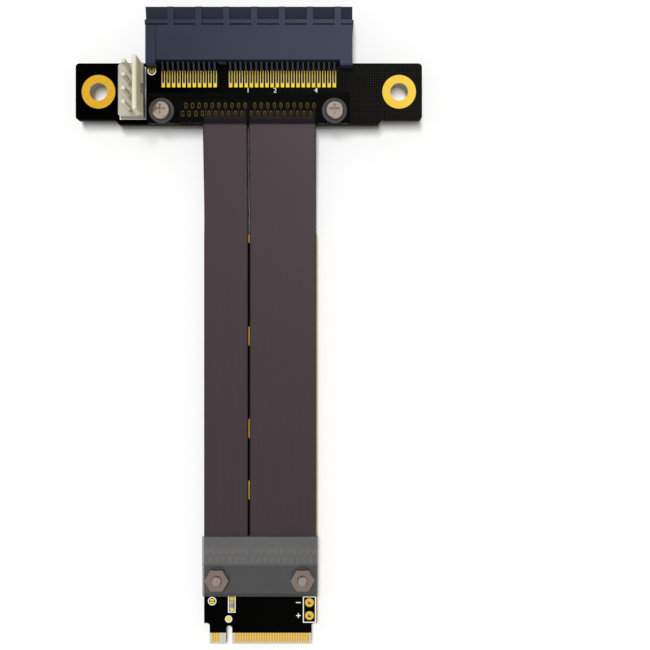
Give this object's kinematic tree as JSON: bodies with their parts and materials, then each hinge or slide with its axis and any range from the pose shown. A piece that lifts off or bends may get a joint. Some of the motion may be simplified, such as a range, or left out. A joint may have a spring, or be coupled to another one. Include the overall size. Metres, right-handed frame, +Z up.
{
  "type": "card slot extension cable",
  "caption": "Flat shielded ribbon cable from a keyed M.2 edge board to a small board with an edge-mounted x4 card slot and a power header.",
  "frame": {"origin": "centre of the bounding box, on the plane that the cable lies on", "axes": "+Y along the cable towards the card slot's mouth, +X across the boards to the right seen from the front, +Z up through the boards"},
  "size_m": [0.0668, 0.1228, 0.0148],
  "materials": {
    "black_solder_mask": "satin black solder mask over glass laminate",
    "gold_plating": "flat immersion gold",
    "slate_plastic": "satin moulded slate blue",
    "contact_alloy": "plated spring alloy",
    "cream_plastic": "natural moulded nylon",
    "tinned_pin": "tinned",
    "solder": "bright solder",
    "smoked_black_plastic": "see-through black sheet",
    "smoked_grey_plastic": "see-through grey sheet",
    "screw_steel": "plated steel",
    "washer_steel": "dark grey",
    "ribbon_jacket": "satin warm grey jacket",
    "tinned_wire": "tinned copper",
    "capacitor_ceramic": "matt grey ceramic"
  },
  "bodies": {
    "root": {"slot_board": "black_solder_mask", "slot_mount_rings": "gold_plating", "slot_contact_pads": "gold_plating", "slot_cable_pads": "gold_plating", "slot_jumper_pads": "gold_plating", "slot_housing": "slate_plastic", "slot_contacts_front": "contact_alloy", "slot_contacts_back": "contact_alloy", "power_header_housing": "cream_plastic", "power_header_pins": "tinned_pin", "power_header_pads": "solder", "slot_cover": "smoked_black_plastic", "slot_clamp_screws": "screw_steel", "slot_clamp_washers": "washer_steel", "slot_clamp_nuts": "screw_steel", "ribbon_narrow": "ribbon_jacket", "ribbon_wide": "ribbon_jacket", "ribbon_narrow_slot_wires": "tinned_wire", "ribbon_wide_slot_wires": "tinned_wire", "ribbon_narrow_m2_wires": "tinned_wire", "ribbon_wide_m2_wires": "tinned_wire", "m2_board": "black_solder_mask", "m2_edge_contacts_front": "gold_plating", "m2_edge_contacts_back": "gold_plating", "m2_mount_rings": "gold_plating", "m2_cable_pads": "gold_plating", "m2_cover": "smoked_grey_plastic", "m2_clamp_screws": "screw_steel", "m2_clamp_washers": "washer_steel", "m2_clamp_nuts": "screw_steel", "chip_capacitor": "capacitor_ceramic", "chip_capacitor_ends": "solder", "chip_capacitor_pads": "gold_plating", "m2_test_pads": "gold_plating", "m2_auxiliary_pads": "gold_plating"}
  },
  "joints": []
}
